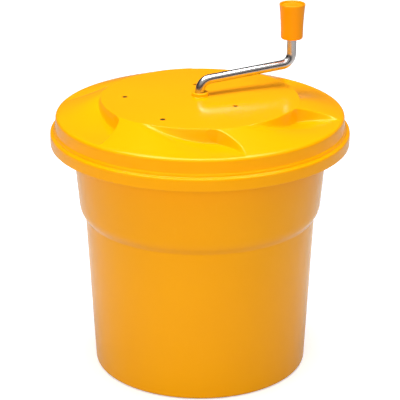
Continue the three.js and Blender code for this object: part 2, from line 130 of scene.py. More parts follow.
def softLight(name, place, target, size, power, reflected):
    data = bpy.data.lights.new(name, "AREA")
    data.shape = "RECTANGLE"
    data.size, data.size_y = size
    data.energy = power
    lamp = bpy.data.objects.new(name, data)
    bpy.context.scene.collection.objects.link(lamp)
    lamp.location = place
    lamp.rotation_euler = (Vector(target) - Vector(place)).to_track_quat("-Z", "Y").to_euler()
    lamp.visible_glossy = reflected


def makeCamera():
    data = bpy.data.cameras.new("camera")
    data.sensor_width = 36
    data.lens = studio["lens"]
    data.clip_end = 200
    camera = bpy.data.objects.new("camera", data)
    bpy.context.scene.collection.objects.link(camera)
    camera.location = (0, -studio["cameraBack"], studio["cameraHeight"])
    camera.rotation_euler = (math.radians(90 - studio["cameraDown"]), 0, 0)
    bpy.context.scene.camera = camera


# White paper to the camera. It lights the object as a grey would, and its mirror image in the gloss
# carries a painted pool of light that fades with the distance from the object.
def makeFloor():
    half = studio["floorSize"] / 2
    corners = [(-half, -half, 0), (half, -half, 0), (half, half, 0), (-half, half, 0)]
    mesh = bpy.data.meshes.new("floor")
    mesh.from_pydata(corners, [], [(0, 1, 2, 3)])
    floor = bpy.data.objects.new("floor", mesh)
    bpy.context.scene.collection.objects.link(floor)
    floor.location.z = cadBox[0].z - studio["floorDrop"]
    material = bpy.data.materials.new("floorPaper")
    material.use_nodes = True
    tree = material.node_tree
    shader = tree.nodes["Principled BSDF"]
    shader.inputs["Roughness"].default_value = 0.9
    shader.inputs["Specular IOR Level"].default_value = 0.1
    shader.inputs["Emission Color"].default_value = (1, 1, 1, 1)
    path = tree.nodes.new("ShaderNodeLightPath")
    seen, mirrored = path.outputs["Is Camera Ray"], path.outputs["Is Glossy Ray"]
    distance = tree.nodes.new("ShaderNodeVectorMath")
    distance.operation = "LENGTH"
    tree.links.new(tree.nodes.new("ShaderNodeTexCoord").outputs["Object"], distance.inputs[0])
    # Painted pool of light: the paper's brightness in gloss falls from near the object to far from it.
    paintedPoolGloss = ranged(tree, distance.outputs["Value"], *studio["paintedPoolReach"], *studio["paperMirrored"])
    paper = ranged(tree, mirrored, 0.0, 1.0, studio["paperElsewhere"], paintedPoolGloss)
    tree.links.new(ranged(tree, seen, 0.0, 1.0, paper, studio["paperSeen"]), shader.inputs["Base Color"])
    tree.links.new(maths(tree, "MULTIPLY", seen, studio["paperGlow"]), shader.inputs["Emission Strength"])
    mesh.materials.append(material)


# White to the camera. Everything else sees a room that is bright overhead and towards the front.
def makeWorld():
    world = bpy.data.worlds.new("studio")
    bpy.context.scene.world = world
    world.use_nodes = True
    tree = world.node_tree
    tree.nodes.clear()
    output = tree.nodes.new("ShaderNodeOutputWorld")
    seen = tree.nodes.new("ShaderNodeBackground")
    seen.inputs["Strength"].default_value = studio["skySeen"]
    room = tree.nodes.new("ShaderNodeBackground")
    direction = tree.nodes.new("ShaderNodeTexCoord").outputs["Generated"]
    facing = tree.nodes.new("ShaderNodeVectorMath")
    facing.operation = "DOT_PRODUCT"
    facing.inputs[1].default_value = studio["brightWay"]
    split = tree.nodes.new("ShaderNodeSeparateXYZ")
    path = tree.nodes.new("ShaderNodeLightPath")
    mix = tree.nodes.new("ShaderNodeMixShader")
    tree.links.new(direction, facing.inputs[0])
    tree.links.new(direction, split.inputs[0])
    towards = ranged(tree, facing.outputs["Value"], *studio["brightFrom"])
    above = ranged(tree, split.outputs["Z"], *studio["brightAbove"])
    bright = maths(tree, "MULTIPLY", towards, above)
    tree.links.new(ranged(tree, bright, 0.0, 1.0, *studio["roomLight"]), room.inputs["Strength"])
    tree.links.new(path.outputs["Is Camera Ray"], mix.inputs[0])
    tree.links.new(room.outputs[0], mix.inputs[1])
    tree.links.new(seen.outputs[0], mix.inputs[2])
    tree.links.new(mix.outputs[0], output.inputs[0])


makeCamera()
makeFloor()
makeWorld()
for name, box in softBoxes.items():
    softLight(name, *box)
bpy.context.scene.view_settings.view_transform = "Standard"
print("studio ready")


# From 0 at low to 1 at high along 3t^2 - 2t^3.
def smoothStep(low, high, x):
    t = np.clip((x - low) / (high - low), 0, 1)
    return t * t * (3 - 2 * t)


# Corners are (radius, height, reach). A corner with a reach becomes a parabola, (1-t)^2 start + 2t(1-t)
# corner + t^2 end, that starts and ends that far from it, or at 0.48 of a side that is too short. A
# straight gets points near its two ends, so that it shades flat, and no two further apart than longest.
def rounded(corners, closed=False, steps=7, longest=7.0):
    spots = np.array([c[:2] for c in corners], float)
    reach = [c[2] if len(c) > 2 else 0 for c in corners]
    count = len(spots)
    share = np.linspace(0, 1, steps)[:, None]
    runs = []
    for i, spot in enumerate(spots):
        inside = closed or 0 < i < count - 1
        if not inside or reach[i] == 0:
            runs.append(spot[None])
            continue
        before = spots[i - 1] - spot
        after = spots[(i + 1) % count] - spot
        start = spot + before * min(0.48, reach[i] / np.linalg.norm(before))
        end = spot + after * min(0.48, reach[i] / np.linalg.norm(after))
        runs.append((1 - share) ** 2 * start + 2 * share * (1 - share) * spot + share ** 2 * end)
    outline = []
    pairs = runs[1:] + ([runs[0]] if closed else [])
    for run, follower in zip(runs, pairs):
        gap = follower[0] - run[-1]
        length = np.linalg.norm(gap)
        near = min(0.35, length / 4)
        inner = np.linspace(near, length - near, max(2, int(length / longest) + 1)) if length > 1 else []
        outline.append(run)
        if len(inner):
            outline.append(run[-1] + gap * (np.array(inner) / length)[:, None])
    if not closed:
        outline.append(runs[-1])
    return np.vstack(outline)


# A grid of points, rows by columns, whose columns run round and close, and whose rows do too in a loop.
# Rows on the axis become one point. If the volume comes out below nothing, the faces are turned round.
def skin(name, grid, loop=False, smooth=40):
    grid = np.asarray(grid, float)
    rows, columns = grid.shape[:2]
    index = np.arange(rows * columns).reshape(rows, columns)
    if loop:
        index = np.vstack([index, index[:1]])
    ahead = np.roll(index, -1, axis=1)
    quads = np.stack([index[:-1], ahead[:-1], ahead[1:], index[1:]], -1).reshape(-1, 4)
    points = grid.reshape(-1, 3)
    rise = np.cross(points[quads[:, 1]] - points[quads[:, 0]], points[quads[:, 2]] - points[quads[:, 0]])
    rise += np.cross(points[quads[:, 2]] - points[quads[:, 0]], points[quads[:, 3]] - points[quads[:, 0]])
    if (points[quads].mean(1) * rise).sum() < 0:
        quads = quads[:, ::-1]
    mesh = bpy.data.meshes.new(name)
    mesh.from_pydata((points * mm).tolist(), [], quads.tolist())
    return finishMesh(name, mesh, smooth)


# Merges doubles, drops faces with no area, and shades smooth up to an angle in degrees.
def finishMesh(name, mesh, smooth):
    work = bmesh.new()
    work.from_mesh(mesh)
    bmesh.ops.remove_doubles(work, verts=work.verts, dist=1e-6)
    bmesh.ops.dissolve_degenerate(work, edges=work.edges, dist=1e-7)
    work.to_mesh(mesh)
    work.free()
    mesh.polygons.foreach_set("use_smooth", [True] * len(mesh.polygons))
    mesh.set_sharp_from_angle(angle=math.radians(smooth))
    piece = bpy.data.objects.new(name, mesh)
    bpy.context.scene.collection.objects.link(piece)
    return piece


# Angles evenly round a full turn.
def circle(columns):
    return np.linspace(0, 2 * math.pi, columns, endpoint=False)


# Radius r and height z turned round an axis: x = cx + r cos a, y = cy + r sin a.
def lathe(outline, columns, centre=(0, 0)):
    angle = circle(columns)
    r, z = outline[:, :1], outline[:, 1:2]
    return np.stack([
        centre[0] + r * np.cos(angle), centre[1] + r * np.sin(angle), z + 0 * angle,
    ], -1)


def nodeGroup(name, inputs, outputs):
    tree = bpy.data.node_groups.new(name, "ShaderNodeTree")
    for label, kind, value in inputs:
        socket = tree.interface.new_socket(label, in_out="INPUT", socket_type=kind)
        socket.default_value = value
    for label, kind in outputs:
        tree.interface.new_socket(label, in_out="OUTPUT", socket_type=kind)
    return tree, tree.nodes.new("NodeGroupInput"), tree.nodes.new("NodeGroupOutput")


def blendColour(tree, share, a, b):
    node = tree.nodes.new("ShaderNodeMix")
    node.data_type = "RGBA"
    for place, value in ((0, share), (6, a), (7, b)):  # the factor, and the two sockets that take colours
        feed(tree, node.inputs[place], value)
    return node.outputs[2]


# Moulded plastic: broad clouding of the colour, a faint pebble in the surface and hazy patches.
def makeMouldedGroup():
    tree, given, out = nodeGroup("mouldedSkin", [
        ("Vector", "NodeSocketVector", (0, 0, 0)), ("Colour", "NodeSocketColor", (1, 1, 1, 1)),
        ("Deep Colour", "NodeSocketColor", (1, 1, 1, 1)), ("Roughness", "NodeSocketFloat", 0.35),
        ("Haze", "NodeSocketFloat", 0.08), ("Pebble Scale", "NodeSocketFloat", 900.0),
    ], [("Colour", "NodeSocketColor"), ("Roughness", "NodeSocketFloat"), ("Height", "NodeSocketFloat")])
    cloud = noise(tree, given.outputs["Vector"], 9.0, 4.0)
    speck = noise(tree, given.outputs["Vector"], 420.0, 2.0)
    pebble = noise(tree, given.outputs["Vector"], given.outputs["Pebble Scale"], 2.0)
    ripple = noise(tree, given.outputs["Vector"], 26.0, 2.0)
    clouded = ranged(tree, cloud, 0.35, 0.7, 0.0, 0.75)
    specked = ranged(tree, speck, 0.55, 0.8, 0.0, 0.25)
    share = maths(tree, "ADD", clouded, specked)
    colour = blendColour(tree, share, given.outputs["Colour"], given.outputs["Deep Colour"])
    haze = maths(tree, "MULTIPLY", given.outputs["Haze"], ranged(tree, cloud, 0.3, 0.75))
    fine = maths(tree, "MULTIPLY", given.outputs["Haze"], ranged(tree, speck, 0.3, 0.7, 0.0, 0.5))
    rough = maths(tree, "ADD", given.outputs["Roughness"], maths(tree, "ADD", haze, fine))
    fineHeight, broadHeight = maths(tree, "MULTIPLY", pebble, 0.25), maths(tree, "MULTIPLY", ripple, 0.75)
    height = maths(tree, "ADD", fineHeight, broadHeight)
    tree.links.new(colour, out.inputs["Colour"])
    tree.links.new(rough, out.inputs["Roughness"])
    tree.links.new(height, out.inputs["Height"])
    return tree


# Handling: rubbed convex edges, and thin scuffs that gather in patches. Both take the worn colour and are
# a little rougher.
def makeWearGroup():
    tree, given, out = nodeGroup("handlingWear", [
        ("Vector", "NodeSocketVector", (0, 0, 0)), ("Colour", "NodeSocketColor", (1, 1, 1, 1)),
        ("Worn Colour", "NodeSocketColor", (1, 1, 1, 1)), ("Amount", "NodeSocketFloat", 0.2),
        ("Roughness", "NodeSocketFloat", 0.35),
    ], [("Colour", "NodeSocketColor"), ("Roughness", "NodeSocketFloat")])
    geometry = tree.nodes.new("ShaderNodeNewGeometry")
    edge = ranged(tree, geometry.outputs["Pointiness"], 0.52, 0.6)
    stretch = tree.nodes.new("ShaderNodeMapping")
    stretch.inputs["Rotation"].default_value = (0.3, 0.5, 0.8)
    stretch.inputs["Scale"].default_value = (1, 1, 0.06)
    tree.links.new(given.outputs["Vector"], stretch.inputs["Vector"])
    scuff = ranged(tree, noise(tree, stretch.outputs[0], 310.0, 1.0), 0.68, 0.78)
    patch = ranged(tree, noise(tree, given.outputs["Vector"], 18.0, 3.0), 0.5, 0.7)
    marks = maths(tree, "MULTIPLY", scuff, patch)
    mask = maths(tree, "MULTIPLY", given.outputs["Amount"], maths(tree, "MAXIMUM", edge, marks))
    colour = blendColour(tree, mask, given.outputs["Colour"], given.outputs["Worn Colour"])
    rough = maths(tree, "ADD", given.outputs["Roughness"], maths(tree, "MULTIPLY", mask, 0.25))
    tree.links.new(colour, out.inputs["Colour"])
    tree.links.new(rough, out.inputs["Roughness"])
    return tree


mouldedGroup = makeMouldedGroup()
wearGroup = makeWearGroup()


# Plastic with a moulded skin and worn edges, and a little light under the surface where it has a glow.
def plastic(name, look):
    material = bpy.data.materials.new(name)
    material.use_nodes = True
    tree = material.node_tree
    shader = tree.nodes["Principled BSDF"]
    place = tree.nodes.new("ShaderNodeTexCoord").outputs["Object"]
    moulded = tree.nodes.new("ShaderNodeGroup")
    moulded.node_tree = mouldedGroup
    worn = tree.nodes.new("ShaderNodeGroup")
    worn.node_tree = wearGroup
    moulded.inputs["Colour"].default_value = look["colour"]
    moulded.inputs["Deep Colour"].default_value = look["deep"]
    moulded.inputs["Roughness"].default_value = look["roughness"]
    moulded.inputs["Haze"].default_value = look["haze"]
    moulded.inputs["Pebble Scale"].default_value = look["pebble"]
    worn.inputs["Worn Colour"].default_value = look["worn"]
    worn.inputs["Amount"].default_value = look["wear"]
    bump = tree.nodes.new("ShaderNodeBump")
    bump.inputs["Strength"].default_value = look["bump"]
    bump.inputs["Distance"].default_value = 0.0004
    links = tree.links
    links.new(place, moulded.inputs["Vector"])
    links.new(place, worn.inputs["Vector"])
    links.new(moulded.outputs["Colour"], worn.inputs["Colour"])
    links.new(moulded.outputs["Roughness"], worn.inputs["Roughness"])
    links.new(worn.outputs["Colour"], shader.inputs["Base Color"])
    links.new(worn.outputs["Roughness"], shader.inputs["Roughness"])
    links.new(moulded.outputs["Height"], bump.inputs["Height"])
    links.new(bump.outputs[0], shader.inputs["Normal"])
    shader.inputs["IOR"].default_value = 1.5
    shader.inputs["Specular IOR Level"].default_value = look.get("gloss", 0.5)
    shader.inputs["Specular Tint"].default_value = look.get("sheen", (1, 1, 1, 1))
    shader.inputs["Subsurface Weight"].default_value = look.get("glow", 0.0)
    shader.inputs["Subsurface Radius"].default_value = (1.0, 0.45, 0.1)
    shader.inputs["Subsurface Scale"].default_value = 0.003
    return material


# Steel: a fine grain, which the look can draw out into lines, and small dull smears.
def metal(name, look):
    material = bpy.data.materials.new(name)
    material.use_nodes = True
    tree = material.node_tree
    shader = tree.nodes["Principled BSDF"]
    place = tree.nodes.new("ShaderNodeTexCoord").outputs["Object"]
    stretch = tree.nodes.new("ShaderNodeMapping")
    stretch.inputs["Scale"].default_value = look["grain"]
    tree.links.new(place, stretch.inputs["Vector"])
    grain = noise(tree, stretch.outputs[0], 900.0, 3.0)
    smear = noise(tree, place, 60.0, 3.0)
    grained = ranged(tree, grain, 0.3, 0.7, *look["rough"])
    smeared = ranged(tree, smear, 0.5, 0.75, 0.0, look["smear"])
    rough = maths(tree, "ADD", grained, smeared)
    colour = blendColour(tree, ranged(tree, smear, 0.4, 0.7, 0.0, 0.6), look["colour"], look["dull"])
    bump = tree.nodes.new("ShaderNodeBump")
    bump.inputs["Strength"].default_value = look["bump"]
    bump.inputs["Distance"].default_value = 0.0001
    tree.links.new(colour, shader.inputs["Base Color"])
    tree.links.new(rough, shader.inputs["Roughness"])
    tree.links.new(grain, bump.inputs["Height"])
    tree.links.new(bump.outputs[0], shader.inputs["Normal"])
    shader.inputs["Metallic"].default_value = 1.0
    return material


finishes = {
    "orange_plastic": plastic("orangePlastic", {
        "colour": (0.94, 0.375, 0.0, 1), "deep": (0.91, 0.35, 0.0, 1), "worn": (1.0, 0.52, 0.05, 1),
        "roughness": 0.14, "haze": 0.03, "pebble": 1100.0, "wear": 0.12, "bump": 0.02,
        "sheen": (1, 0.78, 0.3, 1), "gloss": 0.45,
    }),
    # A darker copy of the orange plastic for the knob: painted shade, not a different moulding colour.
    "knob_shaded_orange": plastic("knobShadedOrange", {
        "colour": (0.86, 0.3, 0.0, 1), "deep": (0.83, 0.28, 0.0, 1), "worn": (0.95, 0.42, 0.04, 1),
        "roughness": 0.24, "haze": 0.03, "pebble": 1100.0, "wear": 0.15, "bump": 0.02,
        "sheen": (1, 0.78, 0.3, 1), "gloss": 0.45,
    }),
    "ivory_plastic": plastic("ivoryPlastic", {
        "colour": (0.83, 0.8, 0.7, 1), "deep": (0.78, 0.74, 0.63, 1), "worn": (0.9, 0.88, 0.82, 1),
        "roughness": 0.38, "haze": 0.1, "pebble": 1300.0, "wear": 0.25, "bump": 0.16, "glow": 0.08,
    }),
    "acetal": plastic("acetal", {
        "colour": (0.74, 0.72, 0.66, 1), "deep": (0.68, 0.66, 0.6, 1), "worn": (0.5, 0.49, 0.46, 1),
        "roughness": 0.42, "haze": 0.08, "pebble": 1600.0, "wear": 0.3, "bump": 0.1,
    }),
    "seal_rubber": plastic("sealRubber", {
        "colour": (0.03, 0.03, 0.03, 1), "deep": (0.02, 0.02, 0.02, 1), "worn": (0.1, 0.1, 0.1, 1),
        "roughness": 0.75, "haze": 0.1, "pebble": 2200.0, "wear": 0.4, "bump": 0.3, "gloss": 0.3,
    }),
    "polished_steel": metal("polishedSteel", {
        "colour": (0.7, 0.67, 0.66, 1), "dull": (0.58, 0.55, 0.54, 1), "grain": (1, 1, 0.05),
        "rough": (0.2, 0.26), "smear": 0.05, "bump": 0.01,
    }),
    # The screw heads are coloured a near-black brown: painted shade of the wells they sit in, far darker
    # than the steel's own colour.
    "screw_steel": metal("screwSteelPaintedShade", {
        "colour": (0.1, 0.06, 0.03, 1), "dull": (0.04, 0.025, 0.012, 1), "grain": (1, 1, 1),
        "rough": (0.45, 0.6), "smear": 0.1, "bump": 0.2,
    }),
}

slotOf = {part["node"]: part["material_slot"] for part in frame["record"]["subparts"]}
bodyOf = {node: body for body, nodes in frame["record"]["behaviour"]["bodies"].items() for node in nodes}


# The knob gets a darker copy of the orange plastic: painted shade that makes it darker than the tub and
# the lid.
def dress(piece, node):
    finish = "knob_shaded_orange" if node in ("knob_grip", "knob_cap") else slotOf[node]
    piece.data.materials.clear()
    piece.data.materials.append(finishes[finish])


def standFor(piece, node):
    dress(piece, node)
    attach(piece, bodyOf[node])
    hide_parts(node)


print("finishes ready")

tub = {
    "columns": 288, "wall": 3.0, "floor": 4.0, "footRing": (107.0, 108.5), "footLift": 1.5,
    "baseRadius": 119.7, "stepLow": (128.3, 175.3), "stepHigh": (134.2, 184.3), "stepRound": 6.5,
    "neck": (140.8, 262.0),
    "flare": (3.5, 4.4),  # how far the wall turns out and up from the neck to the rim
    "rimWall": 3.4, "rimFoot": 0.5, "throat": 2.6,
    "bossRadius": 14.0, "bossTop": 18.5, "bossTaper": 3, "bossFillet": (2, 2.5),
    "pinGap": 0.3, "pinSeat": 2,
}


# An outline of radius and height, turned round the axis. It runs out along the foot, up the wall, over the
# rim and down the inside to the pin's hole.
def makeTub():
    top = highOf("outer_tub")[2]
    rim = highOf("outer_tub")[0]
    pin = highOf("pivot_pin")[0] + tub["pinGap"]
    wall, floor = tub["wall"], tub["floor"]
    ringIn, ringOut = tub["footRing"]
    base, stepRound = tub["baseRadius"], tub["stepRound"]
    lowR, lowZ = tub["stepLow"]
    highR, highZ = tub["stepHigh"]
    neckR, neckZ = tub["neck"]
    flareOut, flareUp = tub["flare"]
    rimFoot = neckZ + tub["rimFoot"]
    boss, bossTop = tub["bossRadius"], tub["bossTop"]
    filletOut, filletUp = tub["bossFillet"]
    seat = floor + tub["pinSeat"]
    outline = rounded([
        (0, tub["footLift"]), (ringIn, tub["footLift"], 0.7), (ringOut, 0, 0.6), (base, 0, 3.4),
        (lowR, lowZ, 1.0), (highR, highZ, stepRound), (neckR, neckZ, 3),
        (neckR + flareOut, neckZ + flareUp, 2.5), (rim - tub["rimWall"], neckZ + flareUp, 0.8),
        (rim - tub["rimWall"] + 0.3, rimFoot, 0.6), (rim - 0.1, rimFoot, 0.8), (rim, top, 2.4),
        (neckR - tub["throat"], top, 2.2), (neckR - wall, neckZ, 2), (highR - wall, highZ + 1, stepRound),
        (lowR - wall, lowZ + 1, 1.5), (base - wall, floor, 4.5), (boss + filletOut, floor, 1.5),
        (boss, floor + filletUp, 1.5), (boss - tub["bossTaper"], bossTop, 1), (pin, bossTop, 0.4),
        (pin, seat, 0.3), (0, seat),
    ])
    standFor(skin("outerTub", lathe(outline, tub["columns"])), "outer_tub")


makeTub()
print("tub ready")

lid = {
    "blades": 6, "firstRidge": -71.6, "bladeDrop": 14.7, "dropFrom": 0.2, "ridgeWall": 5.2,
    "curlBroad": 8.9, "broadPower": 2.57, "curlTight": 4.5, "tightPower": 34,
    "plateauRadius": 109.5, "plateauHeight": 309.0, "crown": 2.0, "plateauWall": (107.9, 112.3),
    "rimRadius": 156.0, "rimHeight": 293.3, "edgeRadius": 158.7, "edgeRound": 3.8,
    "bead": ((159.4, 4.0, 0.8), (160.7, 2.6, 0.7), (161.0, 0.6, 0.7), (162.6, 0.0, 0.7)),  # over the ledge
    "ledge": 274.0, "ledgeWall": 2.7, "skirtRadius": 165.0, "skirtWall": 3, "innerSide": (156.8, 155.6),
    "thickness": 3.0, "underside": 306.0, "underBoss": (11.6, 301.6), "bushTop": 312.4, "bushGap": 0.3,
    "bossRadius": 9.2, "bore": 5.75, "screwHole": 3.0, "screwSeat": 308.0,
}
sectorTurn = 2 * math.pi / lid["blades"]


# Share of the way from the end of the blades to the plateau.
def inward(r):
    return np.clip((lid["rimRadius"] - r) / (lid["rimRadius"] - lid["plateauRadius"]), 0, 1)


# A ridge leaves the rim almost along a radius and curls back to run into the plateau's edge. Its turn is
# the broad curl times share^2.57, plus the tight curl times share^34.
def curl(r):
    share = inward(r)
    broad = lid["curlBroad"] * share ** lid["broadPower"]
    return -np.radians(broad + lid["curlTight"] * share ** lid["tightPower"])


# Height of the blades: the foot falls smoothly round each sector, climbs back up the ridge's wall at the
# sector's end, and fades in a straight line to nothing at the rim.
def bladeHeight(r, phase):
    own = phase % 1.0
    wall = lid["ridgeWall"] / (r * sectorTurn)
    fall = smoothStep(lid["dropFrom"], 1 - wall, own) * (1 - smoothStep(1 - wall, 1, own))
    foot = lid["plateauHeight"] - lid["bladeDrop"] * fall
    return lid["rimHeight"] + (foot - lid["rimHeight"]) * inward(r)


# The plateau is a shallow paraboloid. Across its wall, a smooth step passes to the height of the blades.
# At the edge, round - sqrt(round^2 - d^2) is taken off, where d is the way past the corner's start.
def lidTop(r, phase):
    crowned = lid["plateauHeight"] + lid["crown"] * (1 - (r / lid["plateauRadius"]) ** 2)
    low, high = lid["plateauWall"]
    share = smoothStep(low, high, r)
    corner = np.clip(r - lid["edgeRadius"] + lid["edgeRound"], 0, lid["edgeRound"])
    rounding = lid["edgeRound"] - np.sqrt(lid["edgeRound"] ** 2 - corner ** 2)
    return crowned + (bladeHeight(r, phase) - crowned) * share - rounding


# The lowest of the blades' height here and a little to each side, less the thickness.
def lidUnder(r, phase):
    near = [bladeHeight(r, phase + shift) for shift in (-0.05, -0.025, 0, 0.025, 0.05)]
    return np.min(near, axis=0) - lid["thickness"]


# One closed section of radius and height at each angle: out from the crank's boss over the top, down the
# side, and back under to the bore. Each row is turned by its curl, so the ridges lie along columns.
def lidGrid():
    phase = np.concatenate([
        np.linspace(0, 0.9, 34, endpoint=False), np.linspace(0.9, 0.96, 7, endpoint=False),
        np.linspace(0.96, 1, 20, endpoint=False),
    ])
    turns = (np.arange(lid["blades"])[:, None] + phase).ravel()
    own = np.tile(phase, lid["blades"])
    crest, skirt = highOf("lid_shell")[2], lowOf("lid_shell")[2]
    bore, bushSeat = lid["bore"], highOf("crank_bush")[0] + lid["bushGap"]
    rimZ, ledge, out = lid["rimHeight"], lid["ledge"], lid["skirtRadius"]
    edge, edgeRound = lid["edgeRadius"], lid["edgeRound"]
    boss, middle = lid["bossRadius"], lid["plateauHeight"] + lid["crown"]
    underLedge, underTop = ledge - lid["ledgeWall"], lid["underside"]
    bushR, bushZ = lid["underBoss"]
    sideLow, sideHigh = lid["innerSide"]
    crownRows = np.concatenate([
        np.linspace(boss + 1.2, 104, 16), np.linspace(105, 107.5, 5),  # the plateau
        np.linspace(107.9, 112.4, 20),  # its wall
        np.linspace(113, edge - edgeRound, 34),  # the blades
        edge - edgeRound * (1 - np.sin(np.linspace(0.05, 0.5, 12) * math.pi)),  # the edge's quarter circle
    ])
    side = rounded([
        (edge, rimZ - edgeRound), *[(r, ledge + up, reach) for r, up, reach in lid["bead"]],
        (out, ledge - 0.4, 2.8), (out, skirt, 0.9), (out - lid["skirtWall"] + 0.3, skirt, 0.6),
        (out - lid["skirtWall"], underLedge, 1.0), (sideLow, underLedge, 1.0), (sideHigh, rimZ - 4.6),
    ])[1:]
    underRows = np.linspace(153, 109.6, 16)
    inner = rounded([
        (105.5, underTop), (bushR, underTop, 0.6), (bushR, bushZ, 0.4), (bushSeat, bushZ, 0.3),
        (bushSeat, lid["bushTop"], 0.2), (bore, lid["bushTop"], 0.2), (bore, crest, 0.3),
        (boss - 0.1, crest, 1.1), (boss, middle, 0.9), (boss + 1.1, middle - 0.03),
    ], longest=20)
    points = []
    for radii, height in ((crownRows, lidTop), side.T, (underRows, lidUnder), inner.T):
        r = radii[:, None]
        z = height(r, own[None]) if callable(height) else height[:, None] + 0 * own
        angle = math.radians(lid["firstRidge"]) + turns[None] * sectorTurn + curl(r)
        points.append(np.stack([r * np.cos(angle), r * np.sin(angle), z + 0 * angle], -1))
    return np.concatenate(points)


# Takes the cutter's volume out of the piece and keeps the result as the piece's own mesh.
def cut(piece, cutter):
    modifier = piece.modifiers.new("cut", "BOOLEAN")
    modifier.object = cutter
    modifier.solver = "EXACT"
    bpy.context.view_layer.update()
    made = bpy.data.meshes.new_from_object(piece.evaluated_get(bpy.context.evaluated_depsgraph_get()))
    piece.modifiers.clear()
    piece.data = made
    bpy.data.objects.remove(cutter)


# The shell, with a round well for each screw's head.
def makeLid():
    shell = skin("lidShell", lidGrid(), loop=True)
    wide, seat = lid["screwHole"], lid["screwSeat"]
    wellTop = seat + 8
    for i in range(4):
        well = rounded([(0, seat), (wide, seat), (wide, wellTop), (0, wellTop)])
        cut(shell, skin("screwHole", lathe(well, 32, middleOf(f"case_screw_{i + 1}"))))
    shell.data.set_sharp_from_angle(angle=math.radians(40))
    standFor(shell, "lid_shell")


makeLid()
print("lid ready")

crank = {
    "columns": 48, "bendRows": 22, "armRows": 14, "rod": 5.25, "spindle": 4.0, "shoulder": 292.4,
    "grooveLow": 1.6, "grooveHigh": 3.2, "grooveRadius": 3.2, "chamfer": 0.7, "shoulderChamfer": 0.4,
    "armLow": 327.5, "armHigh": 333.0, "bend": 12.0,
    "neckIn": 2,  # how far up inside the knob the rod narrows
}


# The rod's heading stays upright, turns evenly through each bend and follows the arm's slope between them.
# Its centreline is the running sum of that heading, and each section is a circle square to it.
def makeCrank():
    low, high = lowOf("crank_rod"), highOf("crank_rod")
    knobX, knobY, _ = middleOf("knob_grip")
    throw = math.hypot(knobX, knobY)
    azimuth = math.atan2(knobY, knobX)
    neck = lowOf("knob_grip")[2] + crank["neckIn"]
    slope = math.atan2(crank["armHigh"] - crank["armLow"], throw)
    turn = math.pi / 2 - slope
    bend = crank["bend"]
    acrossBend = bend - bend * math.sin(slope)
    lift = crank["armLow"] + acrossBend * math.tan(slope) - bend * math.cos(slope) - low[2]
    arm = (throw - 2 * bend * (1 - math.sin(slope))) / math.cos(slope)
    marks = np.cumsum([0, lift, bend * turn, arm, bend * turn])  # where each straight and bend ends
    step = 0.02
    span = np.arange(0, marks[-1] + high[2] - crank["armHigh"] + 5, step)  # past the end, then cut there
    heading = np.interp(span, marks[1:], [math.pi / 2, slope, slope, math.pi / 2])
    across = np.concatenate([[0], np.cumsum(np.cos(heading[:-1]) * step)])
    up = low[2] + np.concatenate([[0], np.cumsum(np.sin(heading[:-1]) * step)])
    onPost = span > marks[-1]
    end, neckAt = np.interp([high[2], neck], up[onPost], span[onPost])
    shoulder = crank["shoulder"] - low[2]
    rod, spindle, groove = crank["rod"], crank["spindle"], crank["grooveRadius"]
    grooveLow, grooveHigh = crank["grooveLow"], crank["grooveHigh"]
    chamfer, small = crank["chamfer"], crank["shoulderChamfer"]
    bendRows, armRows = crank["bendRows"], crank["armRows"]
    stations = np.array([
        (0, 0), (0, spindle - chamfer), (chamfer, spindle), (grooveLow, spindle), (grooveLow, groove),
        (grooveHigh, groove), (grooveHigh, spindle), (shoulder, spindle), (shoulder, rod - small),
        (shoulder + small, rod),
        *[(d, rod) for d in np.linspace(marks[1] - 1, marks[2] + 1, bendRows)],
        *[(d, rod) for d in np.linspace(marks[2] + 6, marks[3] - 6, armRows)],
        *[(d, rod) for d in np.linspace(marks[3] - 1, marks[4] + 1, bendRows)],
        (neckAt - small, rod), (neckAt, rod - small), (neckAt, spindle), (end - chamfer, spindle),
        (end, spindle - chamfer), (end, 0),
    ])
    distance, radius = stations[:, 0], stations[:, 1]
    x, z = np.interp(distance, span, across), np.interp(distance, span, up)
    tilt = np.interp(distance, span, heading)
    ring = circle(crank["columns"])
    inPlane = radius[:, None] * np.cos(ring)
    sideways = radius[:, None] * np.sin(ring)
    along = x[:, None] - inPlane * np.sin(tilt)[:, None]
    height = z[:, None] + inPlane * np.cos(tilt)[:, None]
    grid = np.stack([
        along * math.cos(azimuth) - sideways * math.sin(azimuth),
        along * math.sin(azimuth) + sideways * math.cos(azimuth), height,
    ], -1)
    standFor(skin("crankRod", grid), "crank_rod")


makeCrank()
print("crank ready")

knob = {
    "columns": 96, "foot": 12.2, "footRound": 2.4, "waist": (12.6, 17), "flare": (13.6, 32.5), "rim": 14.5,
    "rodHole": (5.55, 3), "spindleHole": (4.3, 4), "nutWell": 7.6, "nutSeat": 28.4,
    "capSeat": 36.4, "wellRadius": 12.2, "capGap": 0.4, "capDish": 0.35,
}


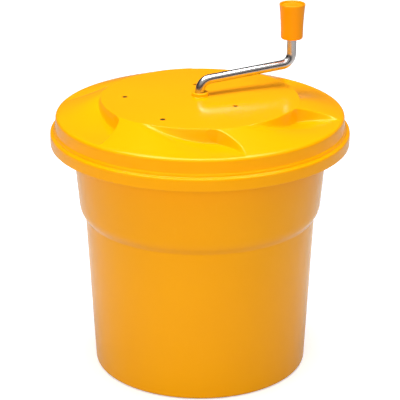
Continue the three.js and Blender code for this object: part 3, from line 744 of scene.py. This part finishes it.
# Two outlines turned round the post: the grip, which runs up the outside and back down through its wells
# to the rod's hole, and the cap, which is dished a little. Heights are measured from the grip's foot.
def makeKnob():
    centre = middleOf("knob_grip")
    foot, top = lowOf("knob_grip")[2], highOf("knob_grip")[2]
    capFoot, capTop = lowOf("knob_cap")[2], highOf("knob_cap")[2]
    waistR, waistUp = knob["waist"]
    flareR, flareUp = knob["flare"]
    rodR, rodUp = knob["rodHole"]
    spindleR, spindleUp = knob["spindleHole"]
    well, nutWell = knob["wellRadius"], knob["nutWell"]
    capSeat, nutSeat = foot + knob["capSeat"], foot + knob["nutSeat"]
    grip = rounded([
        (rodR, foot, 0.4), (knob["foot"], foot, knob["footRound"]), (waistR, foot + waistUp, 6),
        (flareR, foot + flareUp, 4), (knob["rim"], top - 0.5, 1.6), (well + 1.2, top + 0.1, 0.8),
        (well, top - 1.1, 0.6), (well, capSeat, 0.2), (nutWell, capSeat, 0.3), (nutWell, nutSeat, 0.3),
        (spindleR, nutSeat, 0.2), (spindleR, foot + spindleUp, 0.3), (rodR, foot + rodUp, 0.3),
    ], closed=True)
    grip[:, 1] = np.minimum(grip[:, 1], top)
    standFor(skin("knobGrip", lathe(grip, knob["columns"], centre), loop=True), "knob_grip")
    edge = well - knob["capGap"]
    cap = rounded([
        (0, capFoot), (edge, capFoot, 0.3), (edge, capTop, 0.5), (edge - 2, capTop - 0.25, 1),
        (0, capTop - knob["capDish"]),
    ])
    standFor(skin("knobCap", lathe(cap, knob["columns"], centre)), "knob_cap")


makeKnob()
print("knob ready")

screw = {
    "columns": 64, "topRows": 22, "shank": 1.5, "tip": (0.6, 2), "head": 2.7, "headHeight": 1.5,
    "flat": 2.0, "cross": 1.7, "crossWidth": 0.42, "deep": 0.9,
}


# A bar of the cross is 0 inside and rises to 1 over a smooth step past its half width or its half length.
def outsideBar(overWidth, overLength):
    width, length = screw["crossWidth"], screw["cross"]
    return smoothStep(width * 0.7, width, overWidth) + smoothStep(length * 0.8, length, overLength)


# An outline turned round the screw's axis. The top of its head sinks wherever either bar is less than 1.
def makeScrews():
    for i in range(4):
        node = f"case_screw_{i + 1}"
        x, y, _ = middleOf(node)
        foot, top = lowOf(node)[2], highOf(node)[2]
        seat = top - screw["headHeight"]
        shank, head, flat = screw["shank"], screw["head"], screw["flat"]
        tipShare, tipUp = screw["tip"]
        outline = rounded([
            (0, foot), (shank * tipShare, foot), (shank, foot + tipUp, 0.3), (shank, seat, 0.1),
            (head, seat, 0.15), (head, top, 0.5), (flat, top),
        ])
        flatRows = [(r, top) for r in np.linspace(flat - 0.05, 0, screw["topRows"])]
        grid = lathe(np.vstack([outline, flatRows]), screw["columns"], (x, y))
        overX, overY = np.abs(grid[..., 0] - x), np.abs(grid[..., 1] - y)
        outside = np.clip(np.minimum(outsideBar(overX, overY), outsideBar(overY, overX)), 0, 1)
        onTop = grid[..., 2] > top - 1e-6
        grid[..., 2] -= screw["deep"] * (1 - outside) * onTop
        standFor(skin(f"caseScrew{i + 1}", grid), node)


makeScrews()
print("screws ready")

basket = {
    "slots": 24, "slotHalf": 1.47, "notchHalf": 3.64, "notchEvery": 4, "sheet": 2.4, "lip": (120.4, 126.4),
    "wallSlots": ((46, 98), (110, 162), (174, 226)), "slotRound": 3.0,
    "floorSlots": (61, 95), "floorRound": 4, "floor": 28.5,
    "wallFoot": (108.5, 26), "wallTop": 117.0, "wallRows": ((36, 41), (232, 240, 246)),
    "hub": ((0, 43.4), (6, 43.3), (10.4, 42.7), (12.6, 40.5), (14, 35), (17, 30.5)),
    "corner": ((102, 28.8), (106.2, 30.7), (108.3, 32)),
}


# One sheet, the inside face, turned round the axis. It runs from the hub over the floor and up the leaning
# wall to the turned-down lip. Faces in the slots and notches are left out. Solidify adds the thickness.
def makeBasket():
    top = highOf("basket")[2]
    lipFrom, lipTo = basket["lip"]
    lip = max(highOf("drive_plate")[0] + 1.0, lipTo)
    floor, floorRound, slotRound = basket["floor"], basket["floorRound"], basket["slotRound"]
    rowsBelow, rowsAbove = basket["wallRows"]
    low, high = np.array(basket["wallSlots"], float).T
    slotRows = np.stack([low, low + slotRound, (low + high) / 2, high - slotRound, high], -1)
    wallZ = np.concatenate([rowsBelow, slotRows.ravel(), rowsAbove])
    footR, footZ = basket["wallFoot"]
    wallR = footR + (basket["wallTop"] - footR) * (wallZ - footZ) / (top - footZ)
    slotLow, slotHigh = basket["floorSlots"]
    slotMiddle = (slotLow + slotHigh) / 2
    floorR = [23, 40, slotLow - floorRound, slotLow, slotLow + floorRound, slotMiddle]
    floorR += [slotHigh - floorRound, slotHigh]
    outline = np.array([
        *basket["hub"], *[(r, floor) for r in floorR], *basket["corner"], *zip(wallR, wallZ),
        (117.2, top - 1.2), (118.4, top - 0.2), (lipFrom, top), (124.2, top), (lip - 0.5, top - 0.4),
        (lip, top - 1.6), (lip, top - 4), (lip, top - 8),
    ], float)
    pitch = 360 / basket["slots"]
    slot, notch = basket["slotHalf"], basket["notchHalf"]
    sector = np.array([0, notch, pitch / 2 - slot, pitch / 2 + slot, pitch - notch])
    angle = np.radians((np.arange(basket["slots"])[:, None] * pitch + sector).ravel())
    r, z = outline[:, 0], outline[:, 1]
    rows, columns = len(outline), len(angle)
    grid = np.stack([r[:, None] * np.cos(angle), r[:, None] * np.sin(angle), z[:, None] + 0 * angle], -1)
    index = np.arange(rows * columns).reshape(rows, columns)
    ahead = np.roll(index, -1, axis=1)
    quads = np.stack([index[:-1], ahead[:-1], ahead[1:], index[1:]], -1)
    middleZ, middleR = (z[:-1] + z[1:]) / 2, (r[:-1] + r[1:]) / 2
    inWall = ((middleZ > low[:, None]) & (middleZ < high[:, None])).any(axis=0)
    inFloor = (middleR > slotLow) & (middleR < slotHigh) & (middleZ < floor + 1)
    isSlot = np.arange(columns) % len(sector) == 2
    notchSpan = len(sector) * basket["notchEvery"]
    place = np.arange(columns) % notchSpan
    isNotch = (place == 0) | (place == notchSpan - 1)
    inLip = middleR > lipFrom
    keep = ~((inWall | inFloor)[:, None] & isSlot) & ~(inLip[:, None] & isNotch)
    mesh = bpy.data.meshes.new("basketShell")
    mesh.from_pydata((grid.reshape(-1, 3) * mm).tolist(), [], quads[keep].tolist())
    piece = finishMesh("basketShell", mesh, 180)
    solid = piece.modifiers.new("thickness", "SOLIDIFY")
    solid.thickness = basket["sheet"] * mm
    solid.offset = -1
    smooth = piece.modifiers.new("smooth", "SUBSURF")
    smooth.levels = smooth.render_levels = 1
    standFor(piece, "basket")


makeBasket()
print("basket ready")

plate = {
    "edge": 116.0, "low": 252.6, "thick": 2.8, "tabs": 6, "tabHalf": 2.9, "tabReach": 9.7, "hook": 3.4,
    "hookDown": 11.8, "hubRadius": 13.0, "hubLow": 258.5, "coneTop": (266.8, 263.4), "bore": 4.3,
    "hexCorner": 8.4, "hexFoot": 261.6, "ribs": 12, "ribHeight": 2.4, "ribWidth": 1.3,
}


# A shallow cone turned round the axis. At the tabs its edge is swapped for a hooked outline. The socket's
# radius is a hexagon's: the corner's, times cos 30, over the cosine of the angle from a side's middle.
# A rib rises by a smooth step where the way round to its line is shorter than its half width.
def makeDrivePlate():
    hubTop = highOf("drive_plate")[2]
    tabHalf, share = plate["tabHalf"], 2 * math.pi / plate["tabs"]
    sector = np.radians(np.concatenate([
        np.linspace(-tabHalf, tabHalf, 9), np.linspace(tabHalf + 0.25, 60 - tabHalf - 0.25, 46),
    ]))
    angle = (np.arange(plate["tabs"])[:, None] * share + sector).ravel()
    isTab = np.tile(np.abs(sector) < np.radians(tabHalf + 0.1), plate["tabs"])
    edge, low, hub = plate["edge"], plate["low"], plate["hubRadius"]
    high = low + plate["thick"]
    coneOver, coneUnder = plate["coneTop"]
    bore, hubLow, hexFoot = plate["bore"], plate["hubLow"], plate["hexFoot"]
    upper = rounded([
        (hub - 1, hubTop, 0), (hub, hubTop - 0.5, 0.4), (hub + 0.8, coneOver, 1.6),
        (edge - 7, high + 0.8, 2), (edge - 5, high, 0.5),
    ], longest=4)
    lower = rounded([
        (edge - 5, low, 0.5), (edge - 8, low + 1.4, 1), (hub + 1, coneUnder, 1.5), (hub, hubLow, 0.5),
        (bore, hubLow, 0.3), (bore, hexFoot),
    ], longest=6)
    plain = np.stack([np.full(9, edge), np.linspace(high, low, 9)], -1)
    reach, drop = edge + plate["tabReach"], high - plate["hookDown"]
    hook = reach - plate["hook"]
    hooked = np.array([
        (edge, high), (reach - 1, high), (reach, high - 1), (reach, drop + 0.5), (reach - 0.5, drop),
        (hook + 0.5, drop), (hook, drop + 0.5), (hook, low), (edge, low),
    ])
    edgeRows = np.where(isTab[None, :, None], hooked[:, None], plain[:, None])
    around = angle[None] % (math.pi / 3) - math.pi / 6
    hexRadius = plate["hexCorner"] * math.cos(math.pi / 6) / np.cos(around)
    hexZ = np.array([hexFoot, 268.0, hubTop])[:, None] + 0 * angle
    socket = np.stack([np.repeat(hexRadius, 3, 0), hexZ], -1)
    over = np.repeat(upper[:, None], len(angle), 1)
    under = np.repeat(lower[:, None], len(angle), 1)
    section = np.concatenate([over, edgeRows, under, socket])
    r, z = section[..., 0], section[..., 1]
    pitch = 2 * math.pi / plate["ribs"]
    fromRib = np.abs((angle + pitch / 2) % pitch - pitch / 2)[None] * r
    onTop = (np.arange(len(section)) < len(upper))[:, None] & (r > hub + 2)
    beside = smoothStep(plate["ribWidth"] * 0.6, plate["ribWidth"], fromRib)
    rib = (1 - beside) * smoothStep(edge - 6, edge - 14, r)
    z = z + plate["ribHeight"] * rib * onTop
    grid = np.stack([r * np.cos(angle), r * np.sin(angle), z], -1)
    standFor(skin("drivePlate", grid, loop=True, smooth=35), "drive_plate")


makeDrivePlate()
print("drive plate ready")

# The other CAD pieces keep their shape and get their finish.
for node, piece in frame["nodes"].items():
    if not piece.hide_render:
        dress(piece, node)
print("kept pieces dressed")
